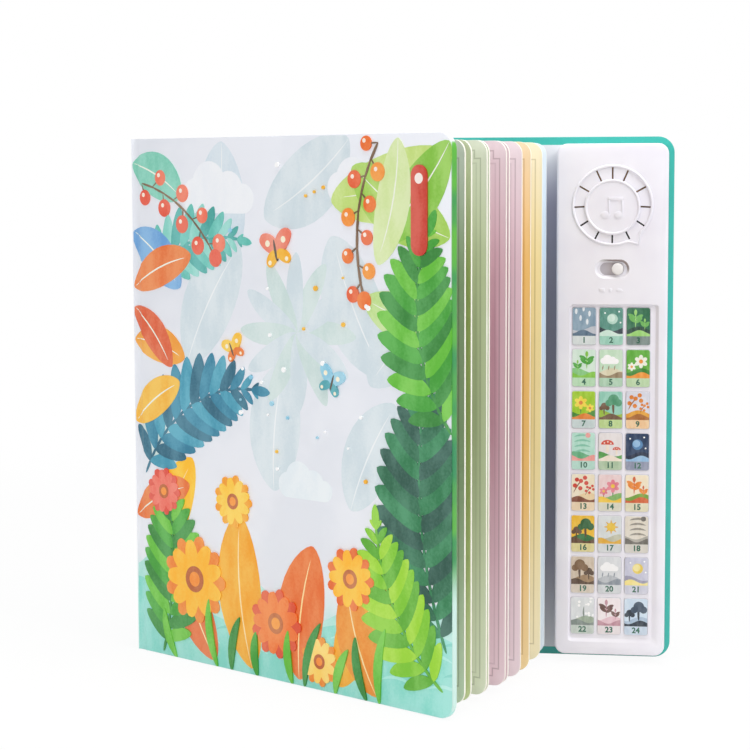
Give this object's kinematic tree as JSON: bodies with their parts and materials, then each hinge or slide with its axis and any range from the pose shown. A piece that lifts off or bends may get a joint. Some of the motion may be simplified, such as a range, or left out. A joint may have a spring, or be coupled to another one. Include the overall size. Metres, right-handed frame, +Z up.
{
  "type": "sound book",
  "caption": "Upright hardcover board book with fanned leaves; the wide back cover holds a sound module with speaker slots, slide switch and a grid of picture keys.",
  "frame": {"origin": "centre of the spine board's bottom face, on the surface that the open book stands on", "axes": "+Z up along the spine, +X along the back cover from the spine to its fore edge, +Y out of the back cover's outer face, reader at -Y"},
  "size_m": [0.27, 0.1374, 0.26],
  "materials": {
    "printed_cover": "smooth coated print paper",
    "white_paper": "matt white paper",
    "teal_cover": "coated teal cover paper, fine grain",
    "page_board": "coated board with pale cut edges",
    "white_shell": "fine matt moulded plastic",
    "key_plastic": "smooth satin plastic",
    "black_plastic": "plain black plastic",
    "green_board": "solder mask",
    "silicone_rubber": "matt silicone",
    "screw_steel": "plated screw",
    "spring_steel": "plated wire",
    "magnet_steel": "zinc plated",
    "contact_brass": "stamped sheet",
    "cell_jacket": "plain blue wrap",
    "speaker_cloth": "fine dark cloth",
    "cone_card": "pressed dark paper"
  },
  "bodies": {
    "back_cover": {"back_cover": "teal_cover", "back_lining": "white_paper", "module_housing": "white_shell", "module_base": "white_shell", "battery_1": "cell_jacket", "battery_2": "cell_jacket", "battery_3": "cell_jacket", "battery_spring_1": "spring_steel", "battery_spring_2": "spring_steel", "battery_spring_3": "spring_steel", "battery_contact_1": "contact_brass", "battery_contact_2": "contact_brass", "battery_contact_3": "contact_brass", "circuit_board": "green_board", "contact_mat": "silicone_rubber", "sound_chip": "black_plastic", "slide_switch_body": "black_plastic", "speaker_cloth": "speaker_cloth", "speaker_basket": "black_plastic", "speaker_cone": "cone_card", "speaker_magnet": "magnet_steel", "shell_screw_1": "screw_steel", "shell_screw_2": "screw_steel", "shell_screw_3": "screw_steel", "shell_screw_4": "screw_steel"},
    "spine": {"spine_board": "teal_cover", "page_block": "page_board"},
    "front_cover": {"front_cover": "printed_cover", "front_endpaper": "white_paper"},
    "switch_knob": {"switch_knob": "key_plastic"},
    "battery_door": {"battery_door": "white_shell", "battery_door_screw": "screw_steel"},
    "key_row1_column1": {"key_row1_column1": "key_plastic"},
    "key_row1_column2": {"key_row1_column2": "key_plastic"},
    "key_row1_column3": {"key_row1_column3": "key_plastic"},
    "key_row2_column1": {"key_row2_column1": "key_plastic"},
    "key_row2_column2": {"key_row2_column2": "key_plastic"},
    "key_row2_column3": {"key_row2_column3": "key_plastic"},
    "key_row3_column1": {"key_row3_column1": "key_plastic"},
    "key_row3_column2": {"key_row3_column2": "key_plastic"},
    "key_row3_column3": {"key_row3_column3": "key_plastic"},
    "key_row4_column1": {"key_row4_column1": "key_plastic"},
    "key_row4_column2": {"key_row4_column2": "key_plastic"},
    "key_row4_column3": {"key_row4_column3": "key_plastic"},
    "key_row5_column1": {"key_row5_column1": "key_plastic"},
    "key_row5_column2": {"key_row5_column2": "key_plastic"},
    "key_row5_column3": {"key_row5_column3": "key_plastic"},
    "key_row6_column1": {"key_row6_column1": "key_plastic"},
    "key_row6_column2": {"key_row6_column2": "key_plastic"},
    "key_row6_column3": {"key_row6_column3": "key_plastic"},
    "key_row7_column1": {"key_row7_column1": "key_plastic"},
    "key_row7_column2": {"key_row7_column2": "key_plastic"},
    "key_row7_column3": {"key_row7_column3": "key_plastic"},
    "key_row8_column1": {"key_row8_column1": "key_plastic"},
    "key_row8_column2": {"key_row8_column2": "key_plastic"},
    "key_row8_column3": {"key_row8_column3": "key_plastic"}
  },
  "joints": [
    {"name": "back_cover_hinge", "type": "hinge", "parent": "back_cover", "child": "spine", "pos_m": [-0.00125, 0.0091, 0.13], "axis": [0, 0, -1], "range_deg": [0, 180]},
    {"name": "front_cover_hinge", "type": "hinge", "parent": "spine", "child": "front_cover", "pos_m": [-0.00125, -0.0091, 0.13], "axis": [0, 0, -1], "range_deg": [-34.3, 145.7], "deforming": ["page_block"]},
    {"name": "switch_knob_slide", "type": "slide", "parent": "back_cover", "child": "switch_knob", "axis": [-1, 0, 0], "range_m": [0, 0.0055]},
    {"name": "battery_door_lift", "type": "slide", "parent": "back_cover", "child": "battery_door", "axis": [0, 1, 0], "range_m": [0, 0.022]},
    {"name": "key_row1_column1_press", "type": "slide", "parent": "back_cover", "child": "key_row1_column1", "axis": [0, 1, 0], "range_m": [0, 0.0005], "stiffness_N_per_m": 800, "springref_m": -0.0005},
    {"name": "key_row1_column2_press", "type": "slide", "parent": "back_cover", "child": "key_row1_column2", "axis": [0, 1, 0], "range_m": [0, 0.0005], "stiffness_N_per_m": 800, "springref_m": -0.0005},
    {"name": "key_row1_column3_press", "type": "slide", "parent": "back_cover", "child": "key_row1_column3", "axis": [0, 1, 0], "range_m": [0, 0.0005], "stiffness_N_per_m": 800, "springref_m": -0.0005},
    {"name": "key_row2_column1_press", "type": "slide", "parent": "back_cover", "child": "key_row2_column1", "axis": [0, 1, 0], "range_m": [0, 0.0005], "stiffness_N_per_m": 800, "springref_m": -0.0005},
    {"name": "key_row2_column2_press", "type": "slide", "parent": "back_cover", "child": "key_row2_column2", "axis": [0, 1, 0], "range_m": [0, 0.0005], "stiffness_N_per_m": 800, "springref_m": -0.0005},
    {"name": "key_row2_column3_press", "type": "slide", "parent": "back_cover", "child": "key_row2_column3", "axis": [0, 1, 0], "range_m": [0, 0.0005], "stiffness_N_per_m": 800, "springref_m": -0.0005},
    {"name": "key_row3_column1_press", "type": "slide", "parent": "back_cover", "child": "key_row3_column1", "axis": [0, 1, 0], "range_m": [0, 0.0005], "stiffness_N_per_m": 800, "springref_m": -0.0005},
    {"name": "key_row3_column2_press", "type": "slide", "parent": "back_cover", "child": "key_row3_column2", "axis": [0, 1, 0], "range_m": [0, 0.0005], "stiffness_N_per_m": 800, "springref_m": -0.0005},
    {"name": "key_row3_column3_press", "type": "slide", "parent": "back_cover", "child": "key_row3_column3", "axis": [0, 1, 0], "range_m": [0, 0.0005], "stiffness_N_per_m": 800, "springref_m": -0.0005},
    {"name": "key_row4_column1_press", "type": "slide", "parent": "back_cover", "child": "key_row4_column1", "axis": [0, 1, 0], "range_m": [0, 0.0005], "stiffness_N_per_m": 800, "springref_m": -0.0005},
    {"name": "key_row4_column2_press", "type": "slide", "parent": "back_cover", "child": "key_row4_column2", "axis": [0, 1, 0], "range_m": [0, 0.0005], "stiffness_N_per_m": 800, "springref_m": -0.0005},
    {"name": "key_row4_column3_press", "type": "slide", "parent": "back_cover", "child": "key_row4_column3", "axis": [0, 1, 0], "range_m": [0, 0.0005], "stiffness_N_per_m": 800, "springref_m": -0.0005},
    {"name": "key_row5_column1_press", "type": "slide", "parent": "back_cover", "child": "key_row5_column1", "axis": [0, 1, 0], "range_m": [0, 0.0005], "stiffness_N_per_m": 800, "springref_m": -0.0005},
    {"name": "key_row5_column2_press", "type": "slide", "parent": "back_cover", "child": "key_row5_column2", "axis": [0, 1, 0], "range_m": [0, 0.0005], "stiffness_N_per_m": 800, "springref_m": -0.0005},
    {"name": "key_row5_column3_press", "type": "slide", "parent": "back_cover", "child": "key_row5_column3", "axis": [0, 1, 0], "range_m": [0, 0.0005], "stiffness_N_per_m": 800, "springref_m": -0.0005},
    {"name": "key_row6_column1_press", "type": "slide", "parent": "back_cover", "child": "key_row6_column1", "axis": [0, 1, 0], "range_m": [0, 0.0005], "stiffness_N_per_m": 800, "springref_m": -0.0005},
    {"name": "key_row6_column2_press", "type": "slide", "parent": "back_cover", "child": "key_row6_column2", "axis": [0, 1, 0], "range_m": [0, 0.0005], "stiffness_N_per_m": 800, "springref_m": -0.0005},
    {"name": "key_row6_column3_press", "type": "slide", "parent": "back_cover", "child": "key_row6_column3", "axis": [0, 1, 0], "range_m": [0, 0.0005], "stiffness_N_per_m": 800, "springref_m": -0.0005},
    {"name": "key_row7_column1_press", "type": "slide", "parent": "back_cover", "child": "key_row7_column1", "axis": [0, 1, 0], "range_m": [0, 0.0005], "stiffness_N_per_m": 800, "springref_m": -0.0005},
    {"name": "key_row7_column2_press", "type": "slide", "parent": "back_cover", "child": "key_row7_column2", "axis": [0, 1, 0], "range_m": [0, 0.0005], "stiffness_N_per_m": 800, "springref_m": -0.0005},
    {"name": "key_row7_column3_press", "type": "slide", "parent": "back_cover", "child": "key_row7_column3", "axis": [0, 1, 0], "range_m": [0, 0.0005], "stiffness_N_per_m": 800, "springref_m": -0.0005},
    {"name": "key_row8_column1_press", "type": "slide", "parent": "back_cover", "child": "key_row8_column1", "axis": [0, 1, 0], "range_m": [0, 0.0005], "stiffness_N_per_m": 800, "springref_m": -0.0005},
    {"name": "key_row8_column2_press", "type": "slide", "parent": "back_cover", "child": "key_row8_column2", "axis": [0, 1, 0], "range_m": [0, 0.0005], "stiffness_N_per_m": 800, "springref_m": -0.0005},
    {"name": "key_row8_column3_press", "type": "slide", "parent": "back_cover", "child": "key_row8_column3", "axis": [0, 1, 0], "range_m": [0, 0.0005], "stiffness_N_per_m": 800, "springref_m": -0.0005}
  ]
}
